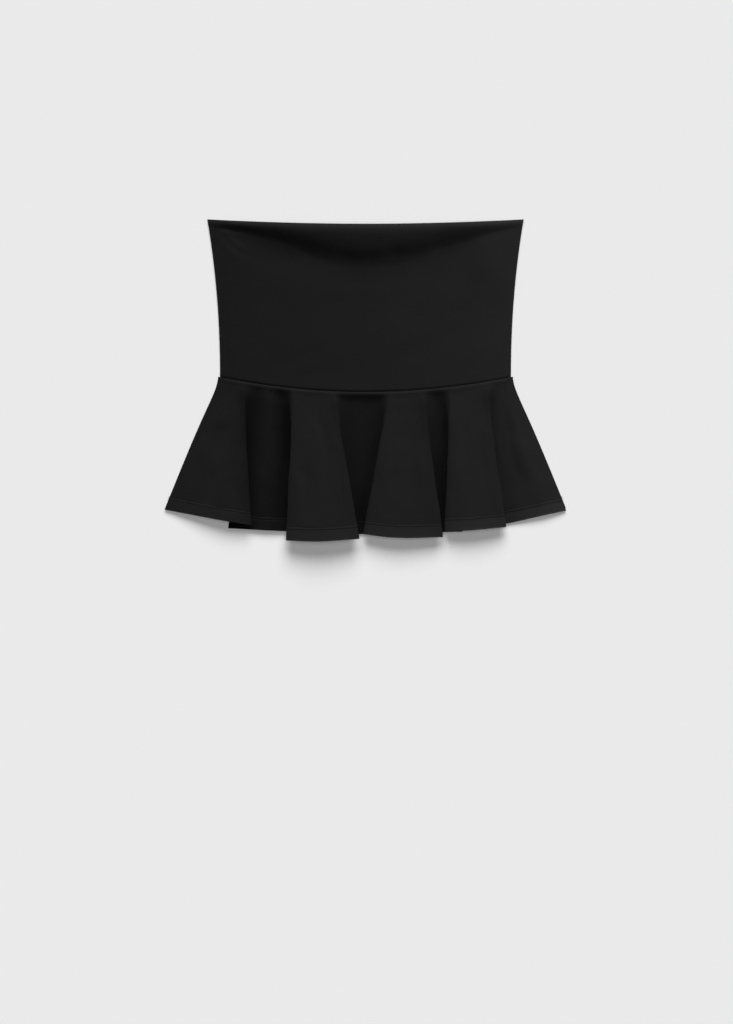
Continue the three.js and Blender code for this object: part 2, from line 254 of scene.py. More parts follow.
def flute_lines(flute, before, after):
    upper, lower = LIP_UPPER * flute.high, LIP_LOWER * flute.high
    lines = []
    if before is None:
        lines.append(Line(flute.seam[0], flute.lips[0], flute.hem[0], HEM_EDGE_Z, SUNK_TOP))
        lines += [top_line(flute, row, True) for row in SIDE_RISE]
    elif flute.feet[0] is not None:
        tuck = mix(flute.lips[0], flute.feet[0], 0.5), mix(flute.hem[0], before.hem[1], 0.5)
        lines.append(fold_line(flute.seam[0] - TUCK_AT_SEAM, *tuck))
        lines.append(Line(flute.seam[0] - LIP_AT_SEAM, flute.lips[0], flute.hem[0], lower, SUNK_LIP_LOWER))
        lines.append(Line(flute.seam[0], flute.lips[0], flute.hem[0], upper, SUNK_LIP_UPPER))
        lines.append(top_line(flute, Row(1 - SHOULDER.seam, 1 - SHOULDER.hem, SHOULDER.high), True))
    else:
        lines.append(top_line(flute, LOW_RISE, True))
    lines.append(top_line(flute, CREST, False))
    if after is None:
        lines.append(Line(flute.seam[1], flute.lips[1], flute.hem[2], HEM_EDGE_Z, SUNK_TOP))
    else:
        tuck = mix(flute.lips[1], flute.feet[1], 0.5), mix(flute.hem[2], after.hem[0], 0.5)
        lines.append(top_line(flute, SHOULDER, False))
        lines.append(Line(flute.seam[1], flute.lips[1], flute.hem[2], upper, SUNK_LIP_UPPER))
        lines.append(Line(flute.seam[1] + LIP_AT_SEAM, flute.lips[1], flute.hem[2], lower, SUNK_LIP_LOWER))
        lines.append(fold_line(flute.seam[1] + TUCK_AT_SEAM, *tuck))
    return lines


# %% Lines along a valley
FOOT_Z = 4.6
FLOOR_LEFT = Row(0.22, 0.15, FLOOR_Z)
FLOOR_MIDDLE = Row(0.5, 0.6, FLOOR_Z)
FLOOR_RIGHT = Row(0.78, 1, FLOOR_Z)
FLOOR_TURN = 11
FLOOR_TURN_SHARE = 0.2


def valley_lines(left, right, valley):
    rolls = right.feet[0] is not None
    seam_from = left.seam[1] + FOOT_LOWER_AT_SEAM
    seam_to = right.seam[0] - FOOT_LOWER_AT_SEAM if rolls else right.seam[0]
    start = left.feet[1]
    end = right.feet[0] if rolls else right.lips[0]
    turn = min(FLOOR_TURN, FLOOR_TURN_SHARE * (end - start))

    def floor(row, x, rise=0):
        seam_x = mix(seam_from, seam_to, row.seam)
        return Line(seam_x, x, mix(*valley.hem, row.hem), row.high + rise, SUNK_FLOOR)

    lines = [
        fold_line(left.seam[1] + FOOT_UPPER_AT_SEAM, start, valley.hem[0]),
        floor(Row(0, 0, FOOT_Z), start),
        floor(FLOOR_LEFT, start + turn),
        floor(FLOOR_MIDDLE, (start + end) / 2, valley.swell),
        floor(FLOOR_RIGHT, end - turn),
    ]
    if rolls:
        lines.append(floor(Row(1, 1, FOOT_Z), end))
        lines.append(fold_line(right.seam[0] - FOOT_UPPER_AT_SEAM, end, valley.hem[1]))
    return lines


LIP_SHADE_SHARES = (0.3, 0.7, 1, 1)  # shares of the painted shade at a flute's shoulder, its upper and lower lip, and the tuck under it
SHADE_PLACES = (0.36, 0.5, 0.64)  # where a valley's left, middle and right are among its lines
FRONT_LINES = []
# Painted shade for each line of the front: a deeper black in the valleys and under the flutes' lips.
LINE_SHADE = []
for number, flute in enumerate(FLUTES):
    before = VALLEYS[number - 1] if number else None
    after = VALLEYS[number] if number < len(VALLEYS) else None
    FRONT_LINES += flute_lines(flute, before, after)
    LINE_SHADE += [0] * (len(FRONT_LINES) - len(LINE_SHADE))
    if after:
        LINE_SHADE[-len(LIP_SHADE_SHARES) :] = [after.lip_shade * share for share in LIP_SHADE_SHARES]
        FRONT_LINES += valley_lines(flute, FLUTES[number + 1], after)
        places = np.linspace(0, 1, len(FRONT_LINES) - len(LINE_SHADE))
        LINE_SHADE += list(np.interp(places, SHADE_PLACES, after.shade_share))
print("a cross-section of the front follows", len(FRONT_LINES), "lines")

# %% [markdown]
# A polyline through those lines would show corners, and an interpolating spline swings past them. A cubic
# B-spline is the calm curve that cloth makes. It cuts its corners a little, so the points are first pushed
# out by a share of that cut. Written as a table of weights, it gives all the cross-sections in one product.

# %% Soft curves
def soft_curve_controls(points, push_out):
    before = 2 * points[..., :1, :] - points[..., 1:2, :]
    after = 2 * points[..., -1:, :] - points[..., -2:-1, :]
    padded = np.concatenate([before, points, after], axis=-2)
    between = (padded[..., :-2, :] + padded[..., 2:, :]) / 2
    pushed = points + (points - between) * push_out / 3
    return np.concatenate([before, pushed, after], axis=-2)


def soft_curve_weights(places, count):
    spans = count - 3
    scaled = np.clip(places, 0, 1) * spans
    span = np.minimum(scaled.astype(int), spans - 1)
    s = scaled - span
    shares = [(1 - s) ** 3, 3 * s**3 - 6 * s**2 + 4, -3 * s**3 + 3 * s**2 + 3 * s + 1, s**3]
    weights = np.zeros((len(places), count))
    for k, share in enumerate(shares):
        weights[np.arange(len(places)), span + k] = share / 6
    return weights


# %% The front peplum's middle surface
FRONT_PUSH_OUT = 0.3
TUCK_DROP = 0.35
FOOT_DROP = 0.62


def seam_z(x):
    return puff_z(x / PEPLUM_SEAM_HALF)


def spread_at(v):
    """How far a line has gone towards its place at the hem: it leaves the seam straight down."""
    return v * (1 - np.exp(-v / STRAIGHT_START))


def front_lines_at(v):
    v = v[:, None]
    spread = spread_at(v)
    sink = 1 - np.exp(-((v / POCKET) ** 2))
    seam_x, x, y, z, sunk = np.array([[n or 0 for n in line] for line in FRONT_LINES]).T
    risen = mix(spread, mix(sink, 1, smooth(v)), sunk)
    height = mix(seam_z(seam_x), z, risen)
    for i in range(1, len(FRONT_LINES) - 2):
        if FRONT_LINES[i].z is None and FRONT_LINES[i + 1].z is None:
            left, right = height[:, i - 1], height[:, i + 2]
            falls = left > right
            height[:, i] = mix(left, right, np.where(falls, TUCK_DROP, 1 - FOOT_DROP))
            height[:, i + 1] = mix(left, right, np.where(falls, FOOT_DROP, 1 - TUCK_DROP))
    along = mix(seam_y(seam_x) - SEAM_GAP / 2, y, v)
    return np.stack([mix(seam_x, x, spread), along, height], axis=-1)


def peplum_front(across, down):
    controls = soft_curve_controls(front_lines_at(down), FRONT_PUSH_OUT)
    return np.einsum("uk,vkd->vud", soft_curve_weights(across, controls.shape[1]), controls)


# %% [markdown]
# The back peplum lies on the surface. Four low flutes of its own stand up inside the front's, each open
# underneath, so the same soft curve runs over them.

# %% The back peplum's middle surface
BACK_HEM_SIDE_Y = -147.2
BACK_HEM_DROP = 27
BACK_HEM_HALF = 230.5


class BackFlute(NamedTuple):
    seam: float  # X of its middle at the waist seam
    hem: float  # X of its middle at the hem
    throat: float  # how wide it opens at the surface
    width: float
    high: float


BACK_FLUTES = [
    BackFlute(-143, -184, 30, 33, 7),
    BackFlute(-60, -50.5, 15, 44, 17.5),
    BackFlute(48, 46.5, 17, 46, 12.5),
    BackFlute(118, 126.5, 13, 32, 12.5),
]


class BackRow(NamedTuple):
    start: float  # share of half the width, at the seam
    throat: float  # share of half the throat, at the hem
    outside: float  # how far outside the throat it lies, at the hem
    width: float  # share of half the width, at the hem
    high: float  # share of the height


HALF_FLUTE = [
    BackRow(0.25, 0, 0, 0.62, 0.95),
    BackRow(0.6, 0, 0, 1, 0.55),
    BackRow(0.9, 1, 0, 0, 0.1),
    BackRow(1.25, 1, 9, 0, 0),
]
BACK_ROWS = [BackRow(-r.start, -r.throat, -r.outside, -r.width, r.high) for r in reversed(HALF_FLUTE)]
BACK_ROWS += HALF_FLUTE


def peplum_back(across, down):
    lines = [(-PEPLUM_SEAM_HALF, -BACK_HEM_HALF, 0)]
    for flute in BACK_FLUTES:
        for row in BACK_ROWS:
            hem = flute.hem + (row.throat * flute.throat + row.width * flute.width) / 2 + row.outside
            lines.append((flute.seam + row.start * flute.width / 2, hem, row.high * flute.high))
    lines.append((PEPLUM_SEAM_HALF, BACK_HEM_HALF, 0))
    controls = soft_curve_controls(np.array(lines, float), 0)
    seam_x, hem_x, high = (soft_curve_weights(across, len(controls)) @ controls).T
    v = down[:, None]
    spread = spread_at(v)
    hem_y = BACK_HEM_SIDE_Y - BACK_HEM_DROP * (1 - (hem_x / BACK_HEM_HALF) ** 2)
    y = mix(seam_y(seam_x) - SEAM_GAP / 2 - BACK_SEAM_DROP, hem_y, v)
    return np.stack([mix(seam_x, hem_x, spread), y, BACK_Z + high * spread], axis=-1)


# %% [markdown]
# ## A grid that is fine where the cloth turns
#
# A real edge of cloth is round, and a seam is a little valley between two such edges. So the grid gets five
# rows in the first 0.6 mm of every edge, then a row every half millimetre near a seam, closer ones at the
# stitches, and a row about every two millimetres in between. The whole panel then stays light.

# %% Rows and columns of the grids
EDGE_ROUND = WALL / 2
EDGE_TURNS = (0, 22.5, 45, 67.5, 90)
STITCH_ROWS = (11.5, 14.5)
STITCH_MARGIN = 2


def edge_steps():
    return [EDGE_ROUND * (1 - math.cos(math.radians(turn))) for turn in EDGE_TURNS]


def places_along(length, zones):
    """Distances from one edge of a panel to the other; zones are (end, step) pairs."""
    distances = edge_steps()
    at = distances[-1]
    for end, step in [*zones, (length - EDGE_ROUND, zones[-1][1])]:
        count = max(1, round((end - at) / step))
        distances += [at + (end - at) * k / count for k in range(1, count + 1)]
        at = end
    distances += [length - d for d in reversed(edge_steps()[:-1])]
    return np.array(distances)


BODICE_LENGTH = 192
WAIST = 2 * WAIST_HALF
stitches_from = PEPLUM_LENGTH - STITCH_ROWS[1] - STITCH_MARGIN
stitches_to = PEPLUM_LENGTH - STITCH_ROWS[0] + STITCH_MARGIN
PEPLUM_ROWS = places_along(
    PEPLUM_LENGTH,
    [(6, 0.5), (14, 1.2), (stitches_from, 2.4), (stitches_to, 0.35), (PEPLUM_LENGTH - 2, 1.1)],
)
BODICE_ROWS = places_along(BODICE_LENGTH, [(5, 0.5), (150, 1.9), (BODICE_LENGTH - 4, 1.3)])
BODICE_COLUMNS = places_along(WAIST, [(8, 1.0), (WAIST - 8, 1.9), (WAIST - 4, 1.0)])
print(len(PEPLUM_ROWS), "rows down the peplum,", len(BODICE_ROWS), "up the bodice")

FRONT_COLUMNS = 318
BACK_COLUMNS = 236
SIDE_STEPS = (0.9, 1.4, 2.1, 3.0)
SIDE_ROOM = 1.2
A_LITTLE = 1e-4


def columns_between_sides(surface, count):
    """Even columns, with closer ones at each side, whose steps at the hem are the round edge's own."""
    ends = surface(np.array([0, A_LITTLE]), np.array([1.0]))[0]
    speed = np.linalg.norm(ends[1] - ends[0]) / A_LITTLE
    close = np.array([*edge_steps(), *SIDE_STEPS]) / speed
    even = np.linspace(0, 1, count)
    even = even[(even > SIDE_ROOM * close[-1]) & (even < 1 - SIDE_ROOM * close[-1])]
    return np.concatenate([close, even, 1 - close[::-1]])


# %% [markdown]
# ## Creases
#
# Cloth that has been worn and laid out again is never quite even. Three kinds of unevenness cover what the
# photograph shows: creases, which are hollows along a path with a low ridge on each side; swells, which are
# broad soft hills; and an overall waviness with no pattern. Simulation could make such folds too, but not
# these folds in these places.

# %% Helpers for uneven cloth
WAVES = 9
WAVER = ((0.25, 9), (0.15, 4.3))  # the unevenness of a crease's depth: shares and lengths
RIDGE_AT = 2.0  # the side ridges of a crease, in crease widths from its line
RIDGE_WIDTH = 0.9


def rounded_path(path, times=3):
    """Cuts the corners of a path again and again, which turns it into a soft curve."""
    path = np.array(path, float)
    for _ in range(times):
        near = mix(path[:-1], path[1:], 0.25)
        far = mix(path[:-1], path[1:], 0.75)
        path = np.concatenate([path[:1], np.stack([near, far], axis=1).reshape(-1, 2), path[-1:]])
    return path


def crease(x, y, path, depth, width, ridges=0.3, ends=0.6):
    """A hollow along a path, with a low ridge on each side; a negative depth makes a ridge."""
    path = rounded_path(path)
    steps = np.diff(path, axis=0)
    lengths = np.linalg.norm(steps, axis=1)
    nearest = np.full(x.shape, np.inf)
    along = np.zeros(x.shape)
    for start, step, length, done in zip(path, steps, lengths, np.cumsum(lengths) - lengths):
        t = np.clip(((x - start[0]) * step[0] + (y - start[1]) * step[1]) / length, 0, length)
        away = np.hypot(x - start[0] - t * step[0] / length, y - start[1] - t * step[1] / length)
        along = np.where(away < nearest, done + t, along)
        nearest = np.minimum(away, nearest)
    total = lengths.sum()
    fade = np.sin(math.pi * np.clip(along / total, 0, 1)).clip(0) ** ends
    waver = 1 + sum(share * np.sin(along / size + at) for (share, size), at in zip(WAVER, path[0]))
    across = nearest / width
    profile = np.exp(-(across**2)) - ridges * np.exp(-(((across - RIDGE_AT) / RIDGE_WIDTH) ** 2))
    return -depth * fade * waver * profile


def swell(x, y, middle, reach, high):
    return high * np.exp(-(((x - middle[0]) / reach[0]) ** 2) - ((y - middle[1]) / reach[1]) ** 2)


def waviness(x, y, seed, size, high):
    chance = np.random.default_rng(seed)
    total = np.zeros(x.shape)
    for _ in range(WAVES):
        angle = chance.uniform(0, math.pi)
        length = size * chance.uniform(0.6, 1.6)
        start = chance.uniform(0, 2 * math.pi)
        total += np.sin(2 * math.pi * (x * math.cos(angle) + y * math.sin(angle)) / length + start)
    return high * total / math.sqrt(WAVES)


# %% Normals and lengths on a grid
def grid_normals(middle):
    across = np.gradient(middle, axis=1)
    along = np.gradient(middle, axis=0)
    normal = np.cross(across, along)
    return normal / np.linalg.norm(normal, axis=-1, keepdims=True)


def row_lengths(middle):
    """The distance from the left side along each row."""
    steps = np.linalg.norm(np.diff(middle, axis=1), axis=-1)
    return np.concatenate([np.zeros((len(middle), 1)), np.cumsum(steps, axis=1)], axis=1)


# %% [markdown]
# ## Flat patterns
#
# The UV map of each panel is its paper pattern, in metres: a near rectangle for the bodice, a part of a ring
# for the peplum. The knit in the material then runs on the cloth as it would on the cut piece, at real size,
# and the pattern's own outline gives the size and area of the cut.

# %% Patterns as UV maps
class Pattern(NamedTuple):
    places: np.ndarray
    size: tuple
    area: float


def pattern_of(places):
    width, length = np.ptp(places[..., 0]), np.ptp(places[..., 1])
    outline = np.concatenate([places[0], places[1:, -1], places[-1, -2::-1], places[-2:0:-1, 0]])
    x, y = outline.T
    area = abs(np.sum(x * np.roll(y, -1) - y * np.roll(x, -1))) / 2
    return Pattern(places * MM, (width * MM, length * MM), area * MM * MM)


def straight_pattern(middle, up):
    across = row_lengths(middle)
    x = across - across[:, -1:] / 2
    top_to_bottom = np.linalg.norm(np.diff(middle, axis=0), axis=-1).sum(axis=0).mean()
    y = np.broadcast_to((up * top_to_bottom)[:, None], x.shape)
    return pattern_of(np.stack([x, y], axis=-1))


def ring_pattern(middle, down):
    across = row_lengths(middle)
    share = across / across[:, -1:] - 0.5
    seam, hem = across[0, -1], across[-1, -1]
    length = np.linalg.norm(np.diff(middle, axis=0), axis=-1).sum(axis=0).mean()
    inner = seam * length / (hem - seam)
    angle = seam / inner * share
    radius = (inner + down * length)[:, None]
    return pattern_of(np.stack([radius * np.sin(angle), -radius * np.cos(angle)], axis=-1))


# %% [markdown]
# ## From a middle surface to a closed shell
#
# A Solidify modifier would put the same wall everywhere. Here the wall depends on the place: it closes
# roundly at the edges, and it is thicker where the hem is turned up inside. So the shell is written out:
# the middle surface moved up, the same moved down, and one shared row of points all round.

# %% The shell builder
def round_edge(distance):
    return np.sqrt(1 - (1 - np.clip(distance / EDGE_ROUND, 0, 1)) ** 2)


def edge_closing(middle, along):
    """1 inside the panel, falling roundly to 0 at its four edges."""
    across = row_lengths(middle)
    sides = round_edge(across) * round_edge(across[:, -1:] - across)
    ends = round_edge(along) * round_edge(along[-1] - along)
    return sides * ends[:, None]


def quads(at):
    return np.stack([at[:-1, :-1], at[:-1, 1:], at[1:, 1:], at[1:, :-1]], axis=-1).reshape(-1, 4)


def make_object(name, points, faces):
    mesh = bpy.data.meshes.new(name)
    mesh.from_pydata(points.tolist(), [], faces.tolist())
    thing = bpy.data.objects.new(name, mesh)
    bpy.context.scene.collection.objects.link(thing)
    return thing


def cloth_shell(name, middle, above, below, pattern, wear_and_highlight, painted_shade=0):
    """The rows of middle run up, so that its normals do too. Above and below are the wall's two halves. The
    last two say how much lighter its black is, partly with wear and partly with a painted highlight, and how
    much deeper it is with painted shade."""
    rows, columns = middle.shape[:2]
    normal = grid_normals(middle)
    upper = (middle + normal * above[..., None]).reshape(-1, 3)
    lower = (middle - normal * below[..., None])[1:-1, 1:-1].reshape(-1, 3)
    upper_at = np.arange(rows * columns).reshape(rows, columns)
    lower_at = upper_at.copy()
    lower_at[1:-1, 1:-1] = rows * columns + np.arange(len(lower)).reshape(rows - 2, columns - 2)
    faces = np.concatenate([quads(upper_at), quads(lower_at)[:, ::-1]])
    shell = make_object(name, np.concatenate([upper, lower]) * MM, faces)
    shell.data.polygons.foreach_set("use_smooth", np.ones(len(faces), bool))

    def on_points(grid):
        return np.concatenate([grid.reshape(rows * columns, -1), grid[1:-1, 1:-1].reshape(len(lower), -1)])

    uv_map = shell.data.uv_layers.new(name="pattern")
    corners = np.zeros(len(shell.data.loops), np.int32)
    shell.data.loops.foreach_get("vertex_index", corners)
    uv_map.data.foreach_set("uv", on_points(pattern.places)[corners].ravel().astype(np.float32))
    # Two values on the points: wear with a painted highlight, and painted shade.
    for attribute, share in (("wear_and_highlight", wear_and_highlight), ("painted_shade", painted_shade)):
        values = shell.data.attributes.new(attribute, "FLOAT", "POINT")
        grid = np.broadcast_to(share, (rows, columns))
        values.data.foreach_set("value", on_points(grid).ravel().astype(np.float32))
    shell.data.update()
    width, length = pattern.size
    print(f"{name}: {2 * len(faces)} triangles, cut from {width * 1000:.0f} x {length * 1000:.0f} mm")
    return shell


# %% [markdown]
# ## The bodice panels
#
# The front gets the creases that show: a sharper line along the trough, a short crease at the left corner,
# faint drag lines and the soft hill at the right. Its neck edge rolls down a little and is lighter there,
# partly from wear and partly a painted highlight, its lower edge dips into the waist seam, and the trough
# gets a deeper black of painted shade. The back lies on the surface, so its own creases only rise from it
# and its underside stays flat between them.

# %% Creases of the bodice
TROUGH_LINE = [(-118, 172), (-75, 157), (-35, 144.5), (-12, 139.5)]
TROUGH_LINE += [(28, 143.5), (91, 155), (134, 166), (172, 177)]
BODICE_CREASES = [
    (TROUGH_LINE, 1.2, 5.5, 0),
    ([(-168, 176.5), (-152, 173.5), (-138, 171.5), (-122, 169)], 1.5, 3.0),
    ([(-173, 167), (-158, 152), (-144, 136)], -0.35, 3.5),
    ([(-164, 170), (-150, 156), (-133, 147)], -0.3, 3.0),
    ([(-153, 120), (-155, 60), (-152, 5), (-150, -8)], -0.5, 5.0),
    ([(120, 20), (128, 70), (138, 120)], -0.4, 9.0),
    ([(-60, 118), (-10, 112), (45, 121)], 0.35, 8.0),
    ([(-110, 12), (-70, 30), (-20, 36)], 0.25, 7.0),
    ([(30, 20), (80, 44), (120, 60)], 0.25, 8.0),
]
BODICE_SWELLS = [((141, 138), (22, 34), 3.0), ((-86, 142), (44, 15), -1.5), ((-150, 140), (16, 26), 1.2)]
BACK_CREASES = [
    ([(-120, 150), (-50, 138), (40, 141), (115, 155)], 0.7, 4.0),
    ([(-130, 20), (-80, 46), (-20, 58)], 0.5, 5.0),
    ([(125, 16), (85, 52), (60, 96)], 0.5, 5.0),
    ([(-90, 100), (-60, 110), (-20, 108)], 0.45, 6.0),
]
TROUGH_SHADE = 0.3
TROUGH_SHADE_REACH = 11
SEAM_DIP = 0.8
SEAM_DIP_REACH = 1.3
NECK_ROLL = 2.2
NECK_ROLL_REACH = 6
NECK_ROLL_FADE = 30
NECK_WEAR_AND_HIGHLIGHT = 0.8
NECK_WEAR_AND_HIGHLIGHT_REACH = 3.6
SIDE_FADE = 14
ROOM_SHARE_FRONT = 0.8


def held_off(z, change, lowest, share):
    """Keeps a change in height from using more than a share of the room below."""
    return np.maximum(change, -share * (z - lowest))


def side_fade(middle, reach):
    across = row_lengths(middle)
    return smooth(np.minimum(across, across[:, -1:] - across) / reach)


# %% The front of the bodice
across = BODICE_COLUMNS / BODICE_COLUMNS[-1]
up = BODICE_ROWS / BODICE_ROWS[-1]
front = bodice_panel(across, up, 0, True)
x, y, z = np.moveaxis(front, -1, 0)
change = sum(crease(x, y, *one) for one in BODICE_CREASES)
change = change + sum(swell(x, y, *one) for one in BODICE_SWELLS)
change = change + waviness(x, y, seed=3, size=95, high=0.28) + waviness(x, y, seed=4, size=34, high=0.07)
change = change * side_fade(front, SIDE_FADE)
change = change - SEAM_DIP * np.exp(-((BODICE_ROWS[:, None] / SEAM_DIP_REACH) ** 2))
below_neck = BODICE_ROWS[-1] - BODICE_ROWS[:, None]
roll = np.exp(-((below_neck / NECK_ROLL_REACH) ** 2)) * side_fade(front, NECK_ROLL_FADE)
change = change - NECK_ROLL * roll
front[..., 2] += held_off(z, change, EDGE_Z, ROOM_SHARE_FRONT)

half_wall = WALL / 2 * edge_closing(front, BODICE_ROWS)
# The neck edge's lighter black: partly wear, partly a painted highlight where the rolled edge meets the
# light.
neck_wear_and_highlight = NECK_WEAR_AND_HIGHLIGHT * np.exp(-((below_neck / NECK_WEAR_AND_HIGHLIGHT_REACH) ** 2))
bodice_front_pattern = straight_pattern(front, up)
# Painted shade along the trough: a deeper black where the light would not reach.
painted_shade = -crease(x, y, TROUGH_LINE[1:-1], TROUGH_SHADE, TROUGH_SHADE_REACH, ridges=0)
bodice_front = cloth_shell(
    "bodice_front_cloth", front, half_wall, half_wall, bodice_front_pattern, neck_wear_and_highlight, painted_shade
)

# %% The back of the bodice
BACK_FADE = 25
BACK_REST = 0.1
BACK_RISE = 1.2
BACK_ROOM_SHARE = 0.5
back = bodice_panel(across, up, BACK_TOP_DROP, False)
x, y, z = np.moveaxis(back, -1, 0)
change = sum(-crease(x, y, *one) for one in BACK_CREASES)
change = change + waviness(x, y, seed=7, size=80, high=0.2) - BACK_REST
room = BACK_ROOM_SHARE * (puff_z(np.clip(x / WAIST_HALF, -1, 1)) - EDGE_Z)
back[..., 2] += np.clip(change * side_fade(back, BACK_FADE), 0, np.minimum(room, BACK_RISE))

half_wall = WALL / 2 * edge_closing(back, BODICE_ROWS)
bodice_back_pattern = straight_pattern(back, up)
bodice_back = cloth_shell("bodice_back_cloth", back, half_wall, half_wall, bodice_back_pattern, neck_wear_and_highlight)

# %% [markdown]
# ## The peplum panels
#
# The peplum hangs from the seam, so its top edge dips into it and then stands up in a narrow ridge that
# catches the light along the whole waist. The hem is double: the cloth is turned up 13 mm inside, and the
# two rows of stitches pull it in a little. The rows of points of both panels run up from the hem, as those
# of the bodice run up from the waist.

# %% Creases of the peplum
SEAM_RIDGE = 0.38
SEAM_RIDGE_AT = 3.0
SEAM_RIDGE_REACH = 2.2
STITCH_DENT = 0.2
STITCH_DENT_REACH = 0.55
TUNNEL = 0.15
TUNNEL_REACH = 0.8
PEPLUM_CREASES = [
    ([(-160, -30), (-170, -80), (-182, -125), (-185, -145)], 1.6, 8.0),
    ([(-148, -16), (-147, -70), (-144, -120), (-142, -150)], -0.9, 4.5),
    ([(-56, -34), (-51, -60), (-46, -78)], 1.0, 3.5),
    ([(-43, -28), (-38, -62), (-34, -95)], -0.8, 3.5),
    ([(-72, -70), (-68, -120), (-64, -165)], 1.3, 8.0),
    ([(42, -26), (38, -80), (32, -130), (30, -160)], 0.8, 7.0),
    ([(58, -40), (64, -100), (70, -150)], -0.8, 6.0),
    ([(112, -30), (114, -80), (118, -130)], 0.8, 6.0),
    ([(132, -30), (139, -80), (146, -130)], -0.7, 5.0),
    ([(153, -28), (162, -80), (174, -120)], 0.9, 5.0),
    ([(163, -24), (176, -70), (191, -118)], -0.9, 6.0),
]


def seam_shape(below_seam):
    """The dip into the waist seam and the ridge below it."""
    dip = -SEAM_DIP * np.exp(-((below_seam / SEAM_DIP_REACH) ** 2))
    return dip + SEAM_RIDGE * np.exp(-(((below_seam - SEAM_RIDGE_AT) / SEAM_RIDGE_REACH) ** 2))


def hem_shape(above_hem):
    """On the outside: dents along the stitch rows and the low tunnel between them."""
    dents = sum(np.exp(-(((above_hem - row) / STITCH_DENT_REACH) ** 2)) for row in STITCH_ROWS)
    tunnel = np.exp(-(((above_hem - sum(STITCH_ROWS) / 2) / TUNNEL_REACH) ** 2))
    return TUNNEL * tunnel - STITCH_DENT * dents


def hem_wall(above_hem):
    """The extra half wall where the hem is turned up inside."""
    return HEM_EXTRA * smooth((HEM_DEPTH + HEM_STEP / 2 - above_hem) / HEM_STEP)


# %% Rows that run up from the hem, and the hem's lighter edge: partly wear, partly a painted highlight
EDGE_WEAR_AND_HIGHLIGHT = 0.7
EDGE_WEAR_AND_HIGHLIGHT_REACH = 1.0
HEM_WEAR_AND_HIGHLIGHT = 0.22
HEM_WEAR_AND_HIGHLIGHT_STEP = 2
HEM_HIGHLIGHT_RIGHT = 0.6  # how much more painted highlight the front's hem gets at its right end, and less at its left
below_seam = PEPLUM_ROWS[::-1, None]
above_hem = PEPLUM_LENGTH - below_seam


def risen_panel(surface, columns):
    """A peplum panel with its rows turned round, and its pattern with them."""
    down = PEPLUM_ROWS / PEPLUM_LENGTH
    middle = surface(columns, down)
    pattern = ring_pattern(middle, down)
    return middle[::-1], pattern._replace(places=pattern.places[::-1])


# The hem's edge and the turned-up band below the stitches are lighter: partly wear, partly a painted
# highlight.
edge_wear_and_highlight = EDGE_WEAR_AND_HIGHLIGHT * np.exp(-((above_hem / EDGE_WEAR_AND_HIGHLIGHT_REACH) ** 2))
hem_wear_and_highlight = edge_wear_and_highlight + HEM_WEAR_AND_HIGHLIGHT * smooth((STITCH_ROWS[0] - above_hem) / HEM_WEAR_AND_HIGHLIGHT_STEP)

# %% The front of the peplum
LEAST_UP = 0.05
FULLY_UP = 0.35
CALM_BELOW_SEAM = 12
SEAM_SIDE_FADE = 6
SEAM_SHAPE_LEAST = 0.3
ROOM_SHARE_PEPLUM = 0.5
SHADE_FADE = 22
front_columns = columns_between_sides(peplum_front, FRONT_COLUMNS)
front, peplum_front_pattern = risen_panel(peplum_front, front_columns)
normal = grid_normals(front)
x, y, z = np.moveaxis(front, -1, 0)
facing_up = smooth((normal[..., 2] - LEAST_UP) / FULLY_UP)
change = sum(crease(x, y, *one) for one in PEPLUM_CREASES) * facing_up
flat_x, flat_y = np.moveaxis(peplum_front_pattern.places / MM, -1, 0)
change = change + waviness(flat_x, flat_y, seed=11, size=60, high=0.3)
change = change + waviness(flat_x, flat_y, seed=12, size=24, high=0.07)
change = change * side_fade(front, SIDE_FADE) * smooth(below_seam / CALM_BELOW_SEAM)
seam = seam_shape(below_seam) * side_fade(front, SEAM_SIDE_FADE)
change = change + seam * np.clip(normal[..., 2], SEAM_SHAPE_LEAST, 1)
front = front + normal * held_off(z, change, FLOOR_Z, ROOM_SHARE_PEPLUM)[..., None]

closing = edge_closing(front, above_hem[:, 0])
outside = (WALL / 2 + hem_shape(above_hem)) * closing
inside = (WALL / 2 + hem_wall(above_hem)) * closing
# Painted shade: a deeper black in the valleys and at the lips, fading out towards the waist seam.
shade_controls = np.array([LINE_SHADE[0], *LINE_SHADE, LINE_SHADE[-1]])
valley_shade = soft_curve_weights(front_columns, len(shade_controls)) @ shade_controls
painted_shade = valley_shade * smooth(below_seam / SHADE_FADE)
# More painted highlight towards the right end of the front's hem, less towards its left.
front_wear_and_highlight = hem_wear_and_highlight * (1 + HEM_HIGHLIGHT_RIGHT * x / BACK_HEM_HALF)
peplum_front_cloth = cloth_shell(
    "peplum_front_cloth", front, outside, inside, peplum_front_pattern, front_wear_and_highlight, painted_shade
)

# %% The back of the peplum
BACK_LIFT = 0.05
BACK_SIDE_FADE = 20
RAISED_STEP = 2
RISE_SHARE = 0.8
CALM_BELOW_BACK_SEAM = 10
CALM_ABOVE_HEM = 30
back_columns = columns_between_sides(peplum_back, BACK_COLUMNS)
back_peplum, peplum_back_pattern = risen_panel(peplum_back, back_columns)
back_normal = grid_normals(back_peplum)
flat_x, flat_y = np.moveaxis(peplum_back_pattern.places / MM, -1, 0)
change = waviness(flat_x, flat_y, seed=21, size=60, high=0.25) + BACK_LIFT
change = change * side_fade(back_peplum, BACK_SIDE_FADE)
raised = smooth((back_peplum[..., 2] - BACK_Z) / RAISED_STEP)
change = np.where(change < 0, change * raised, change * RISE_SHARE)
change = change * smooth(below_seam / CALM_BELOW_BACK_SEAM) * smooth(above_hem / CALM_ABOVE_HEM)
back_peplum = back_peplum + back_normal * change[..., None]

